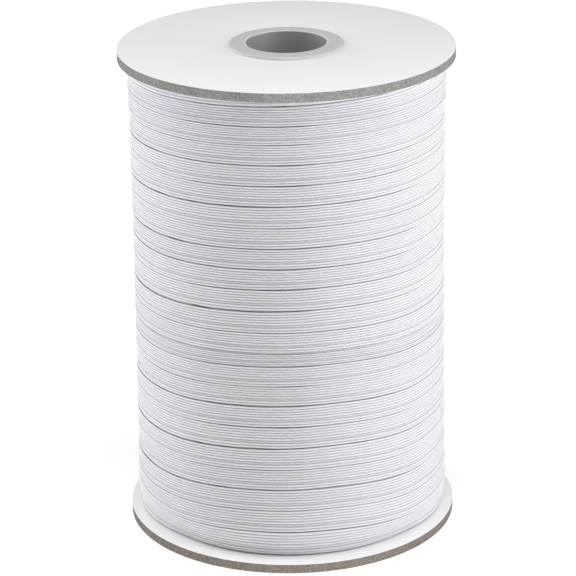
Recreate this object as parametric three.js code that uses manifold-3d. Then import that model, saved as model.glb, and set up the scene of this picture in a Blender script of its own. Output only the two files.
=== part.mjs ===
// A reel of flat braided elastic. The elastic is wound in a helix between two end discs of
// white-lined greyboard, on a moulded core of two flanged halves with a bore through the middle.
// Millimetres, +Z up, the origin under the middle of the lower flange, on which the reel stands.
// The front of the reel faces -Y.

import * as THREE from 'three';
import { mergeVertices } from 'three/addons/utils/BufferGeometryUtils.js';
import Module from 'manifold-3d';

const wasm = await Module();
wasm.setup();

// End discs
const discRadius = 50;
const discThickness = 2.6;
const discSides = 72;

// Core
const boreRadius = 11.9;
const coreRadius = 13.9;
const flangeRadius = 17.1;
const flangeThickness = 1.0;
const flangeChamfer = 0.3;
const mouthChamfer = 0.5;
const spigotRadius = 12.75;
const spigotLength = 12;
const coreSides = 48;

// Winding
const windingLength = 140.5;
const lowerClearance = 2.4; // between the lowest turn and the lower disc
const bandPitch = 6.3;
const seamDepth = 0.9;
const edgeShare = 0.11; // rounded edge of the band, as a share of its width
const stepsPerTurn = 48;
const turnsPastEnds = 1; // turns that run on past each end before the ends are cut flat

const fitGap = 0.3; // between pieces that meet

// Heights of the stacked pieces
const lowerDisc = flangeThickness + fitGap;
const windingFoot = lowerDisc + discThickness + lowerClearance;
const windingHead = windingFoot + windingLength;
const upperDisc = windingHead + fitGap;
const reelHeight = upperDisc + discThickness + fitGap + flangeThickness;
const coreJoint = reelHeight / 2;

// Outer radius of the winding: a little fuller at both ends than at its waist.
const windingForm = [
  { share: 0, radius: 47.5 },
  { share: 0.3, radius: 46.9 },
  { share: 0.6, radius: 46.6 },
  { share: 0.85, radius: 46.9 },
  { share: 1, radius: 47.3 },
];

// The lay of the elastic, a row for each turn from the lowest up: the height of the seam under the
// turn at the front of the reel, and how far the turn stands proud of its neighbours.
const lay = [
  { seam: 4.6, proud: 0 }, // the end of the winding is cut flat through this turn
  { seam: 13.5, proud: 0.1 },
  { seam: 20.3, proud: 0 },
  { seam: 27.0, proud: -0.1 },
  { seam: 33.6, proud: 0.1 },
  { seam: 40.4, proud: 0 },
  { seam: 47.2, proud: 0.1 },
  { seam: 53.7, proud: -0.1 },
  { seam: 60.1, proud: 0.1 },
  { seam: 66.1, proud: -0.2 }, // this turn is half covered by the next
  { seam: 70.4, proud: 0.2 },
  { seam: 76.7, proud: 0 },
  { seam: 83.3, proud: 0.1 },
  { seam: 90.0, proud: 0 },
  { seam: 96.2, proud: -0.1 },
  { seam: 102.5, proud: 0.1 },
  { seam: 108.6, proud: 0 },
  { seam: 115.1, proud: 0.1 },
  { seam: 121.4, proud: 0 },
  { seam: 127.5, proud: -0.1 },
  { seam: 133.5, proud: 0.1 },
  { seam: 139.1, proud: 0 },
  { seam: 144.9, proud: 0.1 },
];

// A solid of revolution about Z from a closed outline of [radius, height] corners, listed
// anticlockwise.
function turned(corners, sides) {
  const outline = corners.map(([radius, height]) => new THREE.Vector2(radius, height));
  outline.push(outline[0].clone());
  return new THREE.LatheGeometry(outline, sides).rotateX(Math.PI / 2);
}

function ring(innerRadius, outerRadius, foot, head, sides) {
  const corners = [[innerRadius, foot], [outerRadius, foot], [outerRadius, head], [innerRadius, head]];
  return turned(corners, sides);
}

function toManifold(geometry) {
  const bare = geometry.clone();
  bare.deleteAttribute('normal');
  bare.deleteAttribute('uv');
  const merged = mergeVertices(bare, 1e-4);
  return new wasm.Manifold(new wasm.Mesh({
    numProp: 3,
    vertProperties: new Float32Array(merged.attributes.position.array),
    triVerts: new Uint32Array(merged.index.array),
  }));
}

function toGeometry(manifold) {
  const mesh = manifold.getMesh();
  const geometry = new THREE.BufferGeometry();
  geometry.setAttribute('position', new THREE.BufferAttribute(new Float32Array(mesh.vertProperties), 3));
  geometry.setIndex(new THREE.BufferAttribute(new Uint32Array(mesh.triVerts), 1));
  geometry.computeVertexNormals();
  return geometry;
}

function disc(foot) {
  return ring(coreRadius + fitGap, discRadius, foot, foot + discThickness, discSides);
}

// The lower half of the core: a flange to stand on and a tube that ends in a spigot.
function lowerCore() {
  const shoulder = coreJoint - fitGap / 2;
  return turned([
    [boreRadius, mouthChamfer],
    [boreRadius + mouthChamfer, 0],
    [flangeRadius - flangeChamfer, 0],
    [flangeRadius, flangeChamfer],
    [flangeRadius, flangeThickness],
    [coreRadius, flangeThickness],
    [coreRadius, shoulder],
    [spigotRadius, shoulder],
    [spigotRadius, shoulder + spigotLength],
    [boreRadius, shoulder + spigotLength],
  ], coreSides);
}

// The upper half of the core: a tube with a socket over the spigot, and the flanged collar that shows.
function upperCore() {
  const end = coreJoint + fitGap / 2;
  const socketRadius = spigotRadius + fitGap;
  const socketTop = coreJoint - fitGap / 2 + spigotLength + fitGap;
  return turned([
    [socketRadius, end],
    [coreRadius, end],
    [coreRadius, reelHeight - flangeThickness],
    [flangeRadius, reelHeight - flangeThickness],
    [flangeRadius, reelHeight - flangeChamfer],
    [flangeRadius - flangeChamfer, reelHeight],
    [boreRadius + mouthChamfer, reelHeight],
    [boreRadius, reelHeight - mouthChamfer],
    [boreRadius, socketTop],
    [socketRadius, socketTop],
  ], coreSides);
}

// Height of the seam after so many turns, counted from the front of the lowest turn. Past the table
// the turns go on at the even pitch.
function seamHeight(turn) {
  const row = THREE.MathUtils.clamp(Math.floor(turn), 0, lay.length - 1);
  const next = lay[row + 1] ?? { seam: lay[row].seam + bandPitch };
  const pitch = turn < 0 ? bandPitch : next.seam - lay[row].seam;
  return lay[row].seam + (turn - row) * pitch;
}

function turnProud(turn) {
  const place = THREE.MathUtils.clamp(turn, 0, lay.length - 1);
  const row = Math.floor(place);
  const next = lay[Math.min(row + 1, lay.length - 1)];
  return THREE.MathUtils.lerp(lay[row].proud, next.proud, place - row);
}

function formRadius(height) {
  const share = THREE.MathUtils.clamp((height - windingFoot) / windingLength, 0, 1);
  const upper = Math.max(1, windingForm.findIndex((row) => row.share >= share));
  const from = windingForm[upper - 1];
  const to = windingForm[upper];
  const blend = THREE.MathUtils.smoothstep(share, from.share, to.share);
  return THREE.MathUtils.lerp(from.radius, to.radius, blend);
}

// The helical face of the winding, closed by a cone at each end: every turn is a flat band between
// two rounded edges that fall to the seams beside it.
function helicalBody() {
  const across = [
    { share: 0, sunk: seamDepth },
    { share: edgeShare, sunk: 0 },
    { share: 1 - edgeShare, sunk: 0 },
  ];
  const last = (lay.length + 2 * turnsPastEnds) * stepsPerTurn;
  const index = (step, line) => step * across.length + line;
  const positions = [];
  for (let step = 0; step <= last; step += 1) {
    const turn = step / stepsPerTurn - turnsPastEnds;
    const angle = 2 * Math.PI * turn;
    const low = seamHeight(turn);
    const high = seamHeight(turn + 1);
    for (const { share, sunk } of across) {
      const height = THREE.MathUtils.lerp(low, high, share);
      const radius = formRadius(height) + turnProud(turn) - sunk;
      positions.push(radius * Math.sin(angle), -radius * Math.cos(angle), height);
    }
  }
  const triangles = [];
  const top = across.length - 1;
  for (let step = 0; step < last; step += 1) {
    for (let line = 0; line <= top; line += 1) {
      const above = line < top ? index(step, line + 1) : index(step + stepsPerTurn, 0);
      const aboveNext = line < top ? index(step + 1, line + 1) : index(step + stepsPerTurn + 1, 0);
      if (line < top || step + stepsPerTurn < last) {
        const here = index(step, line);
        const hereNext = index(step + 1, line);
        triangles.push(here, hereNext, aboveNext, here, aboveNext, above);
      }
    }
  }
  const lowerRim = [];
  const upperRim = [];
  for (let step = stepsPerTurn; step >= 0; step -= 1) lowerRim.push(index(step, 0));
  for (let line = 1; line <= top; line += 1) lowerRim.push(index(0, line));
  for (let step = last - stepsPerTurn; step <= last; step += 1) upperRim.push(index(step, top));
  for (let line = top - 1; line >= 0; line -= 1) upperRim.push(index(last, line));
  const ends = [
    { rim: lowerRim, height: seamHeight(-turnsPastEnds) - bandPitch },
    { rim: upperRim, height: seamHeight(lay.length + turnsPastEnds) + bandPitch },
  ];
  for (const { rim, height } of ends) {
    const apex = positions.length / 3;
    positions.push(0, 0, height);
    rim.forEach((corner, place) => triangles.push(corner, rim[(place + 1) % rim.length], apex));
  }
  return new wasm.Manifold(new wasm.Mesh({
    numProp: 3,
    vertProperties: new Float32Array(positions),
    triVerts: new Uint32Array(triangles),
  }));
}

// The winding: the helical body cut flat at both ends and hollow for the core.
function winding() {
  const room = ring(coreRadius + fitGap, 2 * discRadius, windingFoot, windingHead, coreSides);
  return toGeometry(helicalBody().intersect(toManifold(room)));
}

const boardWhite = { color: 0xeeeff0, roughness: 0.7, metalness: 0 };
const plasticGrey = { color: 0xc6c7c9, roughness: 0.45, metalness: 0 };
const elasticWhite = { color: 0xe4e3e8, roughness: 0.85, metalness: 0 };

const pieces = [
  { name: 'disc_bottom', geometry: disc(lowerDisc), finish: boardWhite },
  { name: 'disc_top', geometry: disc(upperDisc), finish: boardWhite },
  { name: 'core_bottom', geometry: lowerCore(), finish: plasticGrey },
  { name: 'core_top', geometry: upperCore(), finish: plasticGrey },
  { name: 'elastic_winding', geometry: winding(), finish: elasticWhite },
];

const reel = new THREE.Group();
for (const { name, geometry, finish } of pieces) {
  const mesh = new THREE.Mesh(geometry, new THREE.MeshStandardMaterial(finish));
  mesh.name = name;
  reel.add(mesh);
}

export default reel;
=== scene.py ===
import math

import bpy
import numpy as np
from mathutils import Matrix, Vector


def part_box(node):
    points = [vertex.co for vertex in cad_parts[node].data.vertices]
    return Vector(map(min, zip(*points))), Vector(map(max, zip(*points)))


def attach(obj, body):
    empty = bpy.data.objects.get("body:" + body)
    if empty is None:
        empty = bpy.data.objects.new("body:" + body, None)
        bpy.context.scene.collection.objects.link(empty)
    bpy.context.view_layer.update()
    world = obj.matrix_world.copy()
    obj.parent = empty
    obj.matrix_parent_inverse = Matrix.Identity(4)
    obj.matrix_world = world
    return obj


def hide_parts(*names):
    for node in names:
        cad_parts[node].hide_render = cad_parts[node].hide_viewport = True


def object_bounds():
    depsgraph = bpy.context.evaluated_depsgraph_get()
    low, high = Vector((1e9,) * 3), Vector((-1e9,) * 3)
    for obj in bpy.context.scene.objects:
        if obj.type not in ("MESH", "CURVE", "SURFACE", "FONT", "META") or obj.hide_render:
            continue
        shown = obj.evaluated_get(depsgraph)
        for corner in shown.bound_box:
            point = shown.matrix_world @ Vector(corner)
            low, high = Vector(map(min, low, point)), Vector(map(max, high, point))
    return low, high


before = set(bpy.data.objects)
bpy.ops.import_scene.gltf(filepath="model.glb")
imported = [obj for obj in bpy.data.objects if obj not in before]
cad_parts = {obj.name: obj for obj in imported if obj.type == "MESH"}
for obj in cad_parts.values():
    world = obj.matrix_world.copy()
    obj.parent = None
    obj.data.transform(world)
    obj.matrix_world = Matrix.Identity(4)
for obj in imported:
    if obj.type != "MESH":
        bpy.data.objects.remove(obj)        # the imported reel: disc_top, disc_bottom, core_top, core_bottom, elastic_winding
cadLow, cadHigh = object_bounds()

mm = 0.001


# small helpers for modelling in edit mode

def clearSelection():
    if bpy.context.mode != "OBJECT":
        bpy.ops.object.mode_set(mode="OBJECT")
    bpy.ops.object.select_all(action="DESELECT")


def pickPiece(piece):
    clearSelection()
    piece.select_set(True)
    bpy.context.view_layer.objects.active = piece


def weldPoints():
    bpy.ops.mesh.select_all(action="SELECT")
    bpy.ops.mesh.remove_doubles(threshold=0.001 * mm)


def drawOutline(name, points):
    # one vertex is pulled round the closed outline, radius on X and height on Z, and left in edit mode
    clearSelection()
    bpy.ops.mesh.primitive_plane_add(size=mm)
    piece = bpy.context.object
    piece.name = name
    piece.data.name = name
    bpy.ops.object.mode_set(mode="EDIT")
    bpy.ops.mesh.select_all(action="SELECT")
    bpy.ops.mesh.merge(type="CENTER")
    bpy.ops.transform.translate(value=(points[0][0], 0, points[0][1]))
    for here, there in zip(points, points[1:] + points[:1]):
        step = (there[0] - here[0], 0, there[1] - here[1])
        bpy.ops.mesh.extrude_region_move(TRANSFORM_OT_translate={"value": step})
    weldPoints()
    return piece


def spinPiece(name, points, steps):
    # a closed outline turned right round the bore
    piece = drawOutline(name, points)
    bpy.ops.mesh.select_all(action="SELECT")
    bpy.ops.mesh.spin(steps=steps, angle=2 * math.pi, center=(0, 0, 0), axis=(0, 0, 1))
    weldPoints()
    bpy.ops.mesh.normals_make_consistent(inside=False)
    bpy.ops.object.mode_set(mode="OBJECT")
    return piece


def applyModifier(piece, kind, **settings):
    pickPiece(piece)
    modifier = piece.modifiers.new(kind.title(), kind)
    for key, value in settings.items():
        setattr(modifier, key, value)
    bpy.ops.object.modifier_apply(modifier=modifier.name)


def smoothPiece(piece, degrees):
    pickPiece(piece)
    bpy.ops.object.shade_smooth_by_angle(angle=math.radians(degrees))


def arcPoints(centre, radius, start, end, steps):
    angles = [math.radians(start + (end - start) * i / steps) for i in range(steps + 1)]
    return [(centre[0] + radius * math.cos(a), centre[1] + radius * math.sin(a)) for a in angles]


def seat(piece, slot, material, *replaced):
    # every piece rides on the one body of the reel
    piece.data.materials.clear()
    piece.data.materials.append(material)
    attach(piece, "root")
    if replaced:
        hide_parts(*replaced)


# shader groups that several finishes share

def addSocket(tree, name, direction, kind, value=None):
    socket = tree.interface.new_socket(name=name, in_out=direction, socket_type="NodeSocket" + kind)
    if value is not None:
        socket.default_value = value


def addNode(tree, kind, **settings):
    node = tree.nodes.new("ShaderNode" + kind)
    for key, value in settings.items():
        setattr(node, key, value)
    return node


def addMath(tree, operation, first, second=None, third=None):
    node = addNode(tree, "Math", operation=operation)
    for socket, value in zip(node.inputs, (first, second, third)):
        if value is None:
            continue
        if isinstance(value, (int, float)):
            socket.default_value = value
        else:
            tree.links.new(value, socket)
    return node.outputs[0]


def addNoise(tree, place, scale, detail, roughness=0.55):
    node = addNode(tree, "TexNoise")
    node.inputs["Detail"].default_value = detail
    node.inputs["Roughness"].default_value = roughness
    tree.links.new(place, node.inputs["Vector"])
    if isinstance(scale, (int, float)):
        node.inputs["Scale"].default_value = scale
    else:
        tree.links.new(scale, node.inputs["Scale"])
    return node.outputs["Fac"]


def addMix(tree, share, first, second):
    node = addNode(tree, "Mix", data_type="RGBA")
    for socket, value in ((node.inputs[0], share), (node.inputs[6], first), (node.inputs[7], second)):
        if isinstance(value, (int, float, tuple)):
            socket.default_value = value
        else:
            tree.links.new(value, socket)
    return node.outputs[2]


def addRange(tree, value, span, result=(0.0, 1.0), soft=False):
    node = addNode(tree, "MapRange", interpolation_type="SMOOTHSTEP" if soft else "LINEAR")
    node.inputs["From Min"].default_value, node.inputs["From Max"].default_value = span
    node.inputs["To Min"].default_value, node.inputs["To Max"].default_value = result
    tree.links.new(value, node.inputs["Value"])
    return node.outputs[0]


def splitPlace(tree, place):
    node = addNode(tree, "SeparateXYZ")
    tree.links.new(place, node.inputs[0])
    return node.outputs


def startGroup(name):
    tree = bpy.data.node_groups.new(name, "ShaderNodeTree")
    return tree, tree.nodes.new("NodeGroupInput"), tree.nodes.new("NodeGroupOutput")


# fine mottling of a surface: a tint that wanders round 1 and a height for bump
def makeGrainGroup():
    tree, given, made = startGroup("fineGrain")
    addSocket(tree, "Place", "INPUT", "Vector")
    addSocket(tree, "Scale", "INPUT", "Float", 800.0)
    addSocket(tree, "Amount", "INPUT", "Float", 0.03)
    addSocket(tree, "Tint", "OUTPUT", "Float")
    addSocket(tree, "Height", "OUTPUT", "Float")
    fine = addNoise(tree, given.outputs["Place"], given.outputs["Scale"], 4.0)
    broadScale = addMath(tree, "MULTIPLY", given.outputs["Scale"], 0.06)
    broad = addNoise(tree, given.outputs["Place"], broadScale, 2.0)
    both = addMath(tree, "ADD", fine, broad)
    centred = addMath(tree, "SUBTRACT", both, 1.0)
    tint = addMath(tree, "MULTIPLY_ADD", centred, given.outputs["Amount"], 1.0)
    tree.links.new(tint, made.inputs["Tint"])
    tree.links.new(fine, made.inputs["Height"])
    return tree


# short pulp fibres of greyboard: three sizes of speck between a dark and a light colour
def makeFibreGroup():
    tree, given, made = startGroup("pulpFibre")
    addSocket(tree, "Place", "INPUT", "Vector")
    addSocket(tree, "Dark", "INPUT", "Color", (0.2, 0.2, 0.2, 1))
    addSocket(tree, "Light", "INPUT", "Color", (0.5, 0.5, 0.5, 1))
    addSocket(tree, "Colour", "OUTPUT", "Color")
    addSocket(tree, "Height", "OUTPUT", "Float")
    specks = addNoise(tree, given.outputs["Place"], 2600.0, 3.0, 0.7)
    flakes = addNoise(tree, given.outputs["Place"], 1500.0, 2.0)
    clouds = addNoise(tree, given.outputs["Place"], 120.0, 2.0)
    mixed = addMath(tree, "MULTIPLY_ADD", specks, 1.5, flakes)
    mixed = addMath(tree, "MULTIPLY_ADD", clouds, 0.3, mixed)
    share = addRange(tree, mixed, (1.1, 1.7))
    colour = addMix(tree, share, given.outputs["Dark"], given.outputs["Light"])
    tree.links.new(colour, made.inputs["Colour"])
    tree.links.new(mixed, made.inputs["Height"])
    return tree


# braid over each cord of the elastic: yarns slant one way on one cord and the other way on the next
def makeBraidGroup():
    tree, given, made = startGroup("braidYarn")
    addSocket(tree, "Band", "INPUT", "Vector")
    addSocket(tree, "Stitch", "INPUT", "Float", 0.62)
    addSocket(tree, "Slant", "INPUT", "Float", 1.1)
    addSocket(tree, "FurrowShade", "INPUT", "Float", 0.3)   # how much painted shade darkens the furrows between cords
    addSocket(tree, "Yarn", "INPUT", "Float", 0.06)    # how much the yarns show in the shade
    addSocket(tree, "ShadedCord", "INPUT", "Float", 2.0)  # the cord that lies sunk between its neighbours, darkened by painted shade
    addSocket(tree, "Shade", "OUTPUT", "Float")
    addSocket(tree, "Height", "OUTPUT", "Float")
    along, cord = splitPlace(tree, given.outputs["Band"])[:2]
    across = addMath(tree, "FRACT", cord)
    number = addMath(tree, "FLOOR", cord)
    odd = addMath(tree, "MODULO", number, 2.0)
    way = addMath(tree, "MULTIPLY_ADD", odd, 2.0, -1.0)
    off = addMath(tree, "SUBTRACT", across, 0.5)
    lean = addMath(tree, "MULTIPLY", addMath(tree, "MULTIPLY", off, way), given.outputs["Slant"])
    place = addMath(tree, "ADD", addMath(tree, "DIVIDE", along, given.outputs["Stitch"]), lean)
    wave = addMath(tree, "SINE", addMath(tree, "MULTIPLY", place, 2 * math.pi))
    rounded = addMath(tree, "MULTIPLY_ADD", wave, 0.5, 0.5)
    edge = addMath(tree, "SUBTRACT", 1.0, addMath(tree, "MULTIPLY", addMath(tree, "ABSOLUTE", off), 2.0))
    soft = addMath(tree, "POWER", edge, 0.4)
    height = addMath(tree, "MULTIPLY", rounded, soft)
    tree.links.new(height, made.inputs["Height"])
    # painted shade in the furrows between the cords
    crown = addRange(tree, edge, (0.05, 0.75), soft=True)
    sunk = addMath(tree, "SUBTRACT", 1.0, crown)
    furrowShade = addMath(tree, "SUBTRACT", 1.0, addMath(tree, "MULTIPLY", sunk, given.outputs["FurrowShade"]))
    yarn = addMath(tree, "MULTIPLY", addMath(tree, "SUBTRACT", height, 0.5), given.outputs["Yarn"])
    # painted shade on the sunk cord
    low = addMath(tree, "COMPARE", number, given.outputs["ShadedCord"], 0.5)
    shade = addMath(tree, "MULTIPLY_ADD", low, -0.12, addMath(tree, "ADD", furrowShade, yarn))
    tree.links.new(shade, made.inputs["Shade"])
    return tree


grainGroup = makeGrainGroup()
fibreGroup = makeFibreGroup()
braidGroup = makeBraidGroup()


def startMaterial(name, roughness):
    material = bpy.data.materials.new(name)
    material.use_nodes = True
    shader = material.node_tree.nodes["Principled BSDF"]
    shader.inputs["Roughness"].default_value = roughness
    return material, material.node_tree, shader


def addGroup(tree, group, **values):
    node = tree.nodes.new("ShaderNodeGroup")
    node.node_tree = group
    for key, value in values.items():
        node.inputs[key].default_value = value
    return node


def addBump(tree, shader, height, strength, distance):
    bump = addNode(tree, "Bump")
    bump.inputs["Strength"].default_value = strength
    bump.inputs["Distance"].default_value = distance
    tree.links.new(height, bump.inputs["Height"])
    tree.links.new(bump.outputs["Normal"], shader.inputs["Normal"])


def tintColour(tree, tint, colour):
    node = addNode(tree, "VectorMath", operation="SCALE")
    node.inputs[0].default_value = colour
    tree.links.new(tint, node.inputs["Scale"])
    return node.outputs[0]


def objectPlace(tree):
    return addNode(tree, "TexCoord").outputs["Object"]


# tints fitted to the photo's light, by the place on the reel
fade = {
    "paperFrontLight": (10 * mm, -45 * mm),   # on Y: painted light makes the paper plain at the first and palest at the second
    "boardSideShade": 6.6,                    # painted shade: share that a board rim loses for each metre from the middle
    "bore": (12.05 * mm, 11.92 * mm),    # radius over which painted shade darkens the plastic into the bore
    "lipHighlight": (12.7 * mm, 12.3 * mm),       # radius over which a painted highlight makes it pale at the bore's mouth
}


# white lining paper, smooth with a faint tooth
def makePaper(name, colour, frontLightTint):
    material, tree, shader = startMaterial(name, 0.6)
    grain = addGroup(tree, grainGroup, Scale=1500.0, Amount=0.02)
    place = objectPlace(tree)
    tree.links.new(place, grain.inputs["Place"])
    # painted light: the paper is made paler toward the front
    front = addRange(tree, splitPlace(tree, place)[1], fade["paperFrontLight"], (1.0, frontLightTint))
    tint = addMath(tree, "MULTIPLY", grain.outputs["Tint"], front)
    tree.links.new(tintColour(tree, tint, colour), shader.inputs["Base Color"])
    addBump(tree, shader, grain.outputs["Height"], 0.12, 0.03 * mm)
    return material


# cut edge of greyboard
def makeBoard(name, dark, light):
    material, tree, shader = startMaterial(name, 0.95)
    shader.inputs["Specular IOR Level"].default_value = 0.15
    fibre = addGroup(tree, fibreGroup, Dark=dark, Light=light)
    place = objectPlace(tree)
    tree.links.new(place, fibre.inputs["Place"])
    # painted shade: the rim is darkened toward both sides
    side = addMath(tree, "ABSOLUTE", splitPlace(tree, place)[0])
    sideShadeShare = addMath(tree, "MULTIPLY_ADD", side, -fade["boardSideShade"], 1.0)
    shaded = addNode(tree, "VectorMath", operation="SCALE")
    tree.links.new(fibre.outputs["Colour"], shaded.inputs[0])
    tree.links.new(sideShadeShare, shaded.inputs["Scale"])
    tree.links.new(shaded.outputs[0], shader.inputs["Base Color"])
    addBump(tree, shader, fibre.outputs["Height"], 0.5, 0.08 * mm)
    return material


# satin grey plastic of the core
def makePlastic():
    material, tree, shader = startMaterial("corePlastic", 0.42)
    grain = addGroup(tree, grainGroup, Scale=900.0, Amount=0.04)
    place = objectPlace(tree)
    tree.links.new(place, grain.inputs["Place"])
    across, back = (addMath(tree, "POWER", part, 2.0) for part in splitPlace(tree, place)[:2])
    radius = addMath(tree, "SQRT", addMath(tree, "ADD", across, back))
    # painted shade: the plastic is darkened down into the bore
    bore = addRange(tree, radius, fade["bore"], soft=True)
    # painted highlight: a pale ring at the bore's mouth
    lipHighlight = addRange(tree, radius, fade["lipHighlight"], soft=True)
    bright = tintColour(tree, grain.outputs["Tint"], (0.595, 0.602, 0.615))
    pale = tintColour(tree, grain.outputs["Tint"], (0.72, 0.725, 0.735))
    boreShadeColour = tintColour(tree, grain.outputs["Tint"], (0.33, 0.333, 0.34))
    face = addMix(tree, lipHighlight, bright, pale)
    tree.links.new(addMix(tree, bore, face, boreShadeColour), shader.inputs["Base Color"])
    addBump(tree, shader, grain.outputs["Height"], 0.15, 0.03 * mm)
    return material


# braided elastic, on the band's own UV map: millimetres along it, cords across it
def makeElastic(name, colour, bumpStrength):
    material, tree, shader = startMaterial(name, 0.85)
    shader.inputs["Specular IOR Level"].default_value = 0.25
    shader.inputs["Sheen Weight"].default_value = 0.15
    shader.inputs["Sheen Roughness"].default_value = 0.5
    band = addNode(tree, "UVMap", uv_map="bandMap").outputs[0]
    braid = addGroup(tree, braidGroup)
    tree.links.new(band, braid.inputs["Band"])
    grain = addGroup(tree, grainGroup, Scale=2200.0, Amount=0.05)
    tree.links.new(objectPlace(tree), grain.inputs["Place"])
    tint = addMath(tree, "MULTIPLY", braid.outputs["Shade"], grain.outputs["Tint"])
    tree.links.new(tintColour(tree, tint, colour), shader.inputs["Base Color"])
    addBump(tree, shader, braid.outputs["Height"], bumpStrength, 0.06 * mm)
    return material


paperUpper = makePaper("liningPaperUpper", (0.86, 0.868, 0.883), 1.07)
# a brighter copy of the same lining paper: painted light for its ledge in the shade of the winding
paperLower = makePaper("liningPaperLower", (0.95, 0.95, 0.95), 1.0)
boardGrey = makeBoard("greyboardUpper", (0.22, 0.216, 0.209, 1), (0.45, 0.442, 0.43, 1))
boardBrown = makeBoard("greyboardLower", (0.185, 0.158, 0.138, 1), (0.405, 0.352, 0.312, 1))
plastic = makePlastic()
elastic = makeElastic("braidedElastic", (0.797, 0.788, 0.828), 0.3)
# a darker copy of the same elastic: painted shade for the layers below and inside the outer turns
elasticShadedBelow = makeElastic("elasticShadedBelow", (0.70, 0.695, 0.72), 0.3)
print("finishes made")


# end discs: a greyboard core with lining paper on both faces

discMake = {
    "hole": 14.2 * mm,
    "paper": 0.07 * mm,
    "swell": 0.25 * mm,     # the visible discs are this much thicker than the blocks, toward the elastic
    "steps": 240,
    "rimRows": 4,
    "rimRough": 0.035 * mm,
    "rimPick": 0.02 * mm,   # vertices this near the rim are roughened
    "boardRound": 0.05 * mm,
    "paperRound": 0.025 * mm,
}


def ringOutline(inner, outer, foot, head, rows):
    rim = [(outer, foot + (head - foot) * i / rows) for i in range(rows + 1)]
    return [(inner, foot)] + rim + [(inner, head)]


def roughenRim(piece, radius):
    # the die leaves the cut pulp slightly torn
    pickPiece(piece)
    bpy.ops.object.mode_set(mode="EDIT")
    bpy.ops.mesh.select_all(action="DESELECT")
    bpy.ops.object.mode_set(mode="OBJECT")
    for vertex in piece.data.vertices:
        vertex.select = math.hypot(vertex.co.x, vertex.co.y) > radius - discMake["rimPick"]
    bpy.ops.object.mode_set(mode="EDIT")
    bpy.ops.transform.vertex_random(offset=discMake["rimRough"], uniform=0.0, normal=0.0, seed=5)
    bpy.ops.object.mode_set(mode="OBJECT")


def makeDisc(node, where, board, paper):
    low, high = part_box(node)
    outer = high.x
    hole = discMake["hole"]
    layer = discMake["paper"]
    foot = low.z - (discMake["swell"] if where == "top" else 0)
    head = high.z + (discMake["swell"] if where == "bottom" else 0)
    outline = ringOutline(hole, outer, foot + layer, head - layer, discMake["rimRows"])
    core = spinPiece("board_" + where, outline, discMake["steps"])
    applyModifier(core, "BEVEL", width=discMake["boardRound"], segments=2, limit_method="ANGLE")
    roughenRim(core, outer)
    smoothPiece(core, 40)
    seat(core, "board", board, node)
    for side, level in (("under", foot), ("upper", head - layer)):
        outline = ringOutline(hole, outer, level, level + layer, 1)
        facing = spinPiece("paper_" + where + "_" + side, outline, discMake["steps"])
        applyModifier(facing, "BEVEL", width=discMake["paperRound"], segments=3, limit_method="ANGLE")
        smoothPiece(facing, 40)
        seat(facing, "board", paper)


makeDisc("disc_top", "top", boardGrey, paperUpper)
makeDisc("disc_bottom", "bottom", boardBrown, paperLower)
print("discs made")


# core: two flanged halves, the lower one with a spigot in the socket of the upper one

coreMake = {
    "bore": 11.9 * mm,
    "tube": 13.9 * mm,
    "flange": 17.1 * mm,
    "sink": 0.45 * mm,      # how far the visible face lies below the block's own
    "seatGap": 0.02 * mm,   # between the flange and the paper it is pressed on
    "edgeWide": 1.0 * mm,
    "edgeHigh": 0.6 * mm,
    "mouthRound": 0.28 * mm,
    "spigot": 12.75 * mm,
    "spigotLength": 12.0 * mm,
    "fitGap": 0.3 * mm,
    "steps": 160,
    "arcSteps": 5,
}


def makeCore(node, name, below):
    # the outline runs up the tube, round the flange and down the bore, and is flipped for the lower half
    c = coreMake
    low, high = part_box(node)
    joint = cadHigh.z / 2
    face = high.z - c["sink"] if not below else cadHigh.z - low.z
    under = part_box("disc_top")[1].z + c["seatGap"]
    end = joint + c["fitGap"] / 2
    edge = arcPoints((0, 0), 1.0, 0, 90, c["arcSteps"])
    edge = [(c["flange"] + (x - 1) * c["edgeWide"], face + (z - 1) * c["edgeHigh"]) for x, z in edge]
    mouthCentre = (c["bore"] + c["mouthRound"], face - c["mouthRound"])
    mouth = arcPoints(mouthCentre, c["mouthRound"], 90, 180, c["arcSteps"])
    outside = [(c["tube"], end), (c["tube"], under), (c["flange"], under)]
    if below:
        tip = end - c["spigotLength"]
        inside = [(c["bore"], tip), (c["spigot"], tip), (c["spigot"], end)]
    else:
        socketTop = end + c["spigotLength"]
        socket = c["spigot"] + c["fitGap"]
        inside = [(c["bore"], socketTop), (socket, socketTop), (socket, end)]
    outline = outside + edge + mouth + inside
    if below:
        outline = [(r, cadHigh.z - z) for r, z in outline]
    piece = spinPiece(name, outline, c["steps"])
    smoothPiece(piece, 35)
    seat(piece, "core_plastic", plastic, node)


makeCore("core_top", "collar_top", False)
makeCore("core_bottom", "collar_bottom", True)
print("core made")


# wound elastic: the outer layer of turns, a layer of the other hand below it, and the layers inside

windingLow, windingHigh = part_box("elastic_winding")
footGap = 0.05 * mm      # between the lower disc and the elastic
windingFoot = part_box("disc_bottom")[1].z + discMake["swell"] + footGap

# radius of the winding against its share of the height: fuller at the ends than at the waist
windingForm = {
    "share": (0.0, 0.3, 0.6, 0.85, 1.0),
    "radius": (47.6, 47.2, 46.9, 47.0, 47.3),
}

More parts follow.
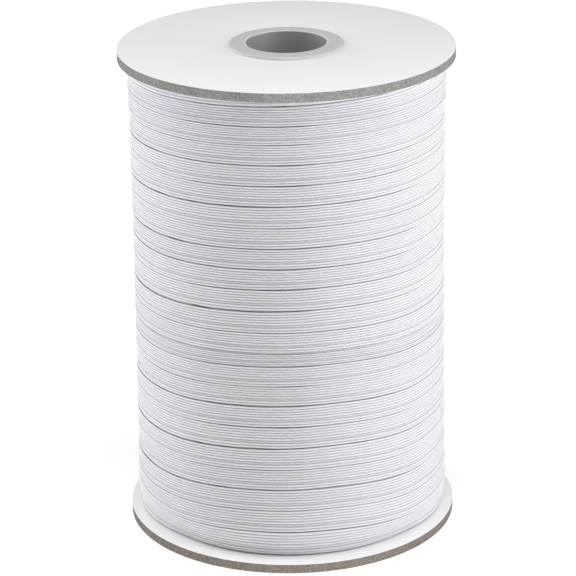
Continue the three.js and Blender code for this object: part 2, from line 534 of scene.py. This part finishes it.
# a row for each turn from the lowest up, in mm: height of the seam under it at the front, how far that seam
# stands open at the far left, the left, the front and the right, and how far the turn stands proud
turnTable = [
    (4.40, 0.00, 0.00, 0.00, 0.00, 0.00),
    (13.5, 0.10, 0.18, 0.22, 0.20, 0.10),
    (20.3, 0.08, 0.10, 0.08, 0.02, 0.00),
    (27.0, 0.45, 0.30, 0.25, 0.38, -0.10),
    (33.6, 0.05, 0.12, 0.10, 0.10, 0.10),
    (40.4, 0.42, 0.42, 0.22, 0.16, 0.00),
    (47.2, 0.05, 0.20, 0.34, 0.12, 0.10),
    (53.7, 0.22, 0.40, 0.36, 0.17, -0.10),
    (60.1, 0.22, 0.06, 0.24, 0.00, 0.10),
    (66.1, 0.02, 0.15, 0.28, 0.10, -0.15),
    (70.4, 0.45, 0.20, 0.38, 0.32, 0.20),
    (76.7, 0.06, 0.06, 0.04, 0.08, 0.00),
    (83.3, 0.65, 0.55, 0.38, 0.15, 0.10),
    (90.0, 0.03, 0.20, 0.37, 0.13, 0.00),
    (96.2, 0.20, 0.25, 0.42, 0.17, -0.10),
    (102.5, 0.50, 0.20, 0.30, 0.32, 0.10),
    (108.6, 0.00, 0.04, 0.12, 0.06, 0.00),
    (115.1, 0.38, 0.42, 0.25, 0.22, 0.10),
    (121.4, 0.00, 0.14, 0.27, 0.10, 0.00),
    (127.5, 0.20, 0.20, 0.34, 0.12, -0.10),
    (133.5, 0.13, 0.05, 0.19, 0.00, 0.10),
    (139.1, 0.03, 0.20, 0.22, 0.03, 0.00),
    (144.9, 0.10, 0.10, 0.20, 0.08, 0.10),
    (151.2, 0.20, 0.20, 0.20, 0.20, 0.00),
]

# degrees from the front, to the right, over which a seam takes the opening of each of its stretches
seamRamps = {
    "farLeft": (-115, -75),
    "left": (-45, -25),
    "front": (-12, -2),
    "right": (3, 12),
    "back": (34, 60),
}

bandMake = {
    "pitch": 6.3 * mm,
    "narrowest": 5.0 * mm,   # a turn given less room than this is lapped by the next one
    "thick": 0.52 * mm,
    "ribRise": (-0.03, 0.05, -0.16, 0.05, -0.02, -0.03, 0.0, 0.03),  # each cord's crown, mm
    "valley": -0.31 * mm,
    "shoulder": -0.09 * mm,
    "shoulderAt": 0.24,   # place of a cord's shoulders, in cords
    "steps": 96,          # per turn
    "turns": 22.75,       # up to where the lower edge of the elastic meets the top disc
    "start": -0.45,       # turns before the front of the lowest turn
    "levelTurns": (1.0, 0.6, 0.3),   # how far the lowest turns run level round the front
    "backOpen": (0.01, 0.05),        # opening of the seams at the back, and how much it wanders, mm
    "wander": 0.10,       # waver of every seam, mm
    "sag": (1.3, 2.6),    # hang of the lowest turns at the left and the right, mm
    "sagFrom": (10, 55),  # degrees to either side of the front over which the hang grows
    "sagTo": (80, 150),   # and over which it is lost again
    "firstWidth": 7.0 * mm,          # of the start of the layer, which the next turn covers
    "tuck": 1.15 * mm,               # how far that start dips under the turn that covers it
    "tuckTurns": (0.33, 0.41),
    "lapDip": 1.05,                  # how far a lapped edge dips, in thicknesses of the elastic
    "lapEase": 0.3 * mm,
    "lapSpan": (-0.5 * mm, 0.1 * mm),
    "leanIn": 3.8 * mm,   # how far the lowest turn is drawn in at its lower edge
    "leanLost": 0.7,      # share of that lost at the sides
    "leanSide": (40, 80),            # degrees to either side over which it is lost
    "leanCurve": 1.4,
    "leanHeight": 9.2 * mm,
    "headIn": 1.6 * mm,   # the same under the top disc
    "headHeight": 3.2 * mm,
}


def smoothRamp(value, start, end):
    share = np.clip((value - start) / (end - start), 0, 1)
    return share * share * (3 - 2 * share)


def tableColumn(place):
    return np.array([row[place] for row in turnTable])


def sideSag(turn):
    # the turns hang a little at both sides of the front, more so lower on the reel
    b = bandMake
    side = (turn - np.round(turn)) * 360
    hang = np.where(side < 0, *b["sag"]) * (1 - turn / len(turnTable)) * smoothRamp(turn, 0.5, 0.9)
    return hang * smoothRamp(np.abs(side), *b["sagFrom"]) * (1 - smoothRamp(np.abs(side), *b["sagTo"]))


def seamHeight(turn):
    heights = tableColumn(0)
    row = np.clip(np.floor(turn), 0, len(heights) - 2).astype(int)
    share = np.clip(turn - row, 0, None)
    level = np.zeros(len(heights))
    level[:len(bandMake["levelTurns"])] = bandMake["levelTurns"]
    share = share + level[row] * (smoothRamp(share, 0.3, 0.7) - share)
    waver = bandMake["wander"] * np.sin(9.1 * turn + 2.0 * np.sin(turn)) * smoothRamp(turn, 0.7, 1.4)
    return heights[row] + (heights[row + 1] - heights[row]) * share + waver - sideSag(turn)


def seamOpen(turn):
    row = np.clip(np.round(turn), 0, len(turnTable) - 1).astype(int)
    side = (turn - row) * 360
    farLeft, left, front, right = (tableColumn(place)[row] for place in (1, 2, 3, 4))
    mean, wander = bandMake["backOpen"]
    back = (mean + wander * np.sin(1.7 * turn)) * smoothRamp(turn, 0.3, 0.7)
    opening = back + (farLeft - back) * smoothRamp(side, *seamRamps["farLeft"])
    opening = opening + (left - farLeft) * smoothRamp(side, *seamRamps["left"])
    opening = opening + (front - left) * smoothRamp(side, *seamRamps["front"])
    opening = opening + (right - front) * smoothRamp(side, *seamRamps["right"])
    return opening + (back - right) * smoothRamp(side, *seamRamps["back"])


def turnProud(turn):
    return np.interp(turn, np.arange(len(turnTable)), tableColumn(5))


def formRadius(height):
    share = (height - windingLow.z) / (windingHigh.z - windingLow.z)
    return np.interp(share, windingForm["share"], windingForm["radius"]) * mm


def footLean(turn, height):
    # drawn in at the front, and far less at both sides and the back
    b = bandMake
    side = np.abs(turn - np.round(turn)) * 360
    lean = b["leanIn"] * (1 - b["leanLost"] * smoothRamp(side, *b["leanSide"]))
    return lean * np.clip(1 - (height - windingFoot) / b["leanHeight"], 0, 1) ** b["leanCurve"]


def headLean(height):
    return bandMake["headIn"] * smoothRamp(height, windingHigh.z - bandMake["headHeight"], windingHigh.z)


def bandOutline(ribRise, valley, shoulder, shoulderAt):
    # section of the elastic lying flat: offset from its outer face, and share of its width
    b = bandMake
    cords = len(ribRise)
    points = [(-b["thick"], 0.03), (-0.5 * b["thick"], 0.004), (0.5 * valley, 0.008)]
    for cord, rise in enumerate(ribRise):
        if cord:
            points.append((valley, cord / cords))
        crown = rise * mm
        if shoulder is not None:
            points.append((crown + shoulder, (cord + shoulderAt) / cords))
        points.append((crown, (cord + 0.5) / cords))
        if shoulder is not None:
            points.append((crown + shoulder, (cord + 1 - shoulderAt) / cords))
    points += [(0.5 * valley, 0.992), (-0.5 * b["thick"], 0.996), (-b["thick"], 0.97)]
    return points


def closeBand(band):
    # the two cut ends of the elastic are closed while it still lies in an even helix
    pickPiece(band)
    bpy.ops.object.mode_set(mode="EDIT")
    bpy.ops.mesh.select_mode(type="EDGE")
    bpy.ops.mesh.select_all(action="DESELECT")
    bpy.ops.mesh.select_non_manifold()
    bpy.ops.mesh.fill_holes(sides=0)
    bpy.ops.mesh.select_mode(type="VERT")
    bpy.ops.mesh.select_all(action="SELECT")
    bpy.ops.mesh.normals_make_consistent(inside=False)
    bpy.ops.object.mode_set(mode="OBJECT")


def screwBand(name, outline, radius, turns, steps):
    # the section is turned up an even helix, to be laid on the reel afterwards
    points = [(radius + offset, share * bandMake["pitch"]) for offset, share in outline]
    band = drawOutline(name, points)
    bpy.ops.object.mode_set(mode="OBJECT")
    rows = round(turns * steps)
    applyModifier(band, "SCREW", axis="Z", angle=2 * math.pi * turns, screw_offset=bandMake["pitch"] * turns,
                  iterations=1, steps=rows, render_steps=rows,
                  use_smooth_shade=True, use_merge_vertices=False)
    closeBand(band)
    return band


def turnOver(band):
    # a helix laid the other way round shows its inside until its faces are flipped
    pickPiece(band)
    bpy.ops.object.mode_set(mode="EDIT")
    bpy.ops.mesh.select_all(action="SELECT")
    bpy.ops.mesh.flip_normals()
    bpy.ops.object.mode_set(mode="OBJECT")


def helixPlaces(band, radius):
    # for each vertex: turns from the start of the helix, share of the band's width, and offset from its face
    flat = np.empty(len(band.data.vertices) * 3)
    band.data.vertices.foreach_get("co", flat)
    spot = flat.reshape(-1, 3)
    part = (np.arctan2(spot[:, 1], spot[:, 0]) / (2 * math.pi)) % 1.0
    level = spot[:, 2] / bandMake["pitch"] - part
    whole = np.floor(level)
    return whole + part, level - whole, np.hypot(spot[:, 0], spot[:, 1]) - radius


def placeBand(band, angle, radius, height):
    spot = np.stack([radius * np.sin(angle), -radius * np.cos(angle), height], axis=1)
    band.data.vertices.foreach_set("co", spot.ravel())
    band.data.update()


def mapBand(band, along, across):
    # UV map: millimetres along the elastic and cords across it
    corners = np.empty(len(band.data.loops), dtype=np.int32)
    band.data.loops.foreach_get("vertex_index", corners)
    spots = np.stack([along[corners], across[corners]], axis=1)
    layer = band.data.uv_layers.new(name="bandMap")
    layer.data.foreach_set("uv", spots.astype(np.float32).ravel())


def makeOuterLayer():
    b = bandMake
    even = windingForm["radius"][0] * mm
    outline = bandOutline(b["ribRise"], b["valley"], b["shoulder"], b["shoulderAt"])
    band = screwBand("elastic_turns", outline, even, b["turns"], b["steps"])
    along, share, offset = helixPlaces(band, even)
    turn = along + b["start"]
    foot = (seamHeight(turn) + seamOpen(turn) / 2) * mm
    head = (seamHeight(turn + 1) - seamOpen(turn + 1) / 2) * mm
    first = turn < 0     # the first part of the lowest turn keeps its width and dips under the next
    head = np.where(first, np.maximum(head, foot + b["firstWidth"]), head)
    width = np.maximum(head - foot, b["narrowest"])
    height = foot + share * width
    radius = formRadius(height) + turnProud(turn) * mm + offset
    lapped = smoothRamp(width - (head - foot), 0, b["lapEase"])
    radius -= b["lapDip"] * b["thick"] * lapped * smoothRamp(height - head, *b["lapSpan"])
    radius -= b["tuck"] * smoothRamp(-turn, *b["tuckTurns"])
    radius -= footLean(turn, height) + headLean(height)
    placeBand(band, 2 * math.pi * turn, radius, np.clip(height, windingFoot, windingHigh.z))
    mapBand(band, along * 2 * math.pi * even / mm, share * len(b["ribRise"]))
    smoothPiece(band, 50)
    seat(band, "elastic", elastic, "elastic_winding")
    return band


outerLayer = makeOuterLayer()
print("outer turns made,", len(outerLayer.data.polygons), "faces")


belowMake = {
    "steps": 64,
    "turns": 23,
    "gap": 0.02 * mm,     # between the back of the outer layer and this one
    "ribRise": (0, 0, 0, 0, 0, 0, 0, 0),
    "valley": -0.2 * mm,
    "radius": 45 * mm,    # of the even helix, before it is laid on the reel
    "pitch": 0.985 * bandMake["pitch"],
    "width": 0.97,        # share of the pitch
    "start": 3.2 * mm,    # how far below the foot of the winding its helix starts
    "footGap": 0.2 * mm,
}


def makeLayerBelow():
    # the layer below was wound the other way, so its turns fall to the right
    b = belowMake
    even = b["radius"]
    outline = bandOutline(b["ribRise"], b["valley"], None, 0)
    band = screwBand("elastic_below", outline, even, b["turns"], b["steps"])
    along, share, offset = helixPlaces(band, even)
    height = windingFoot - b["start"] + (along + share * b["width"]) * b["pitch"]
    radius = formRadius(height) - bandMake["thick"] - b["gap"] + offset
    radius -= footLean(along, height) + headLean(height)
    height = np.clip(height, windingFoot + b["footGap"], windingHigh.z)
    placeBand(band, -2 * math.pi * along, radius, height)
    mapBand(band, along * 2 * math.pi * even / mm, share * len(b["ribRise"]))
    turnOver(band)
    smoothPiece(band, 50)
    seat(band, "elastic", elasticShadedBelow)


makeLayerBelow()


heartMake = {
    "layer": 1.05 * mm,
    "ridge": 0.35 * mm,
    "uneven": 0.3 * mm,   # how much the ridges differ at the foot
    "inset": 0.8 * mm,    # within the layers that are drawn in
    "footGap": 0.6 * mm,
    "headGap": 0.4 * mm,
    "steps": 96,
}


def makeHeart():
    # the layers inside show only as ridges at the two ends of the winding
    h = heartMake
    inner = discMake["hole"]
    outer = min(windingForm["radius"]) * mm - bandMake["leanIn"] - h["inset"]
    layers = int((outer - inner) / h["layer"])
    foot, head = windingFoot + h["footGap"], windingHigh.z - h["headGap"]
    lower, upper = [(inner, foot)], [(inner, head)]
    for layer in range(layers):
        middle = inner + (layer + 0.5) * h["layer"]
        edge = inner + (layer + 1) * h["layer"]
        uneven = h["uneven"] * math.sin(2.3 * layer)
        lower += [(middle, foot - h["ridge"] - uneven), (edge, foot)]
        upper += [(middle, head + h["ridge"] * 0.5), (edge, head)]
    heart = spinPiece("elastic_heart", lower + upper[::-1], h["steps"])
    smoothPiece(heart, 60)
    heart.data.uv_layers.new(name="bandMap")
    seat(heart, "elastic", elasticShadedBelow)


makeHeart()
print("inner layers made")


# stage: a white floor, soft light from both sides and above

stageMake = {
    "floor": 16.0,
    "ambient": 0.13,
    "glowNear": 0.33,      # the floor's own light at the reel, so that it stays white in the shadow
    "glowFar": 0.63,
    "glowReach": (0.1, 0.5),
}


def makeFloor():
    clearSelection()
    size = stageMake["floor"]
    bpy.ops.mesh.primitive_grid_add(x_subdivisions=4, y_subdivisions=4, size=size, location=(0, 0, 0))
    floor = bpy.context.object
    floor.name = "floor"
    material, tree, shader = startMaterial("paleFloor", 0.9)
    shader.inputs["Base Color"].default_value = (0.93, 0.93, 0.93, 1)
    shader.inputs["Specular IOR Level"].default_value = 0.0
    shader.inputs["Emission Strength"].default_value = 1.0
    reach = addNode(tree, "VectorMath", operation="LENGTH")
    tree.links.new(objectPlace(tree), reach.inputs[0])
    light = (stageMake["glowNear"], stageMake["glowFar"])
    glow = addRange(tree, reach.outputs["Value"], stageMake["glowReach"], light, soft=True)
    tree.links.new(glow, shader.inputs["Emission Color"])
    floor.data.materials.append(material)


def makeWorld():
    world = bpy.data.worlds.new("studio")
    bpy.context.scene.world = world
    world.use_nodes = True
    background = world.node_tree.nodes["Background"]
    background.inputs["Color"].default_value = (1, 1, 1, 1)
    background.inputs["Strength"].default_value = stageMake["ambient"]


# each light stands round the reel at an angle from the front, to the right, at a height and distance
lights = [
    {"name": "rightBox", "angle": 75, "height": 0.25, "reach": 0.9, "size": (0.7, 0.9), "power": 7.95},
    {"name": "leftBox", "angle": -105, "height": 0.25, "reach": 0.9, "size": (0.7, 0.9), "power": 7.9},
    {"name": "topBox", "angle": 0, "height": 0.70, "reach": 0.20, "size": (0.45, 0.45), "power": 2.35},
]


def makeLight(name, angle, height, reach, size, power):
    turn = math.radians(angle)
    place = (reach * math.sin(turn), -reach * math.cos(turn), height)
    bpy.ops.object.light_add(type="AREA", location=place)
    light = bpy.context.object
    light.name = name
    light.data.shape = "RECTANGLE"
    light.data.size, light.data.size_y = size
    light.data.energy = power
    aim = cadHigh.z / 2
    light.rotation_euler = (math.atan2(reach, height - aim), 0, turn)


def makeCamera():
    # camera of the photograph: its place in mm before the reel, its tilt down, turn and roll in radians
    shot = {"back": 806.6, "height": 377.5, "tilt": 0.361, "turn": 0.0006, "roll": -0.0138, "lens": 177.1}
    bpy.ops.object.camera_add(location=(0, -shot["back"] * mm, shot["height"] * mm))
    camera = bpy.context.object
    camera.name = "camera"
    camera.data.sensor_width = 36
    camera.data.lens = shot["lens"]
    pose = Matrix.Rotation(shot["turn"], 3, "Z") @ Matrix.Rotation(math.pi / 2 - shot["tilt"], 3, "X")
    camera.rotation_euler = (pose @ Matrix.Rotation(shot["roll"], 3, "Z")).to_euler()
    bpy.context.scene.camera = camera


clearSelection()
makeFloor()
makeWorld()
for light in lights:
    makeLight(**light)
makeCamera()
bpy.context.scene.view_settings.view_transform = "Standard"
print("stage made")
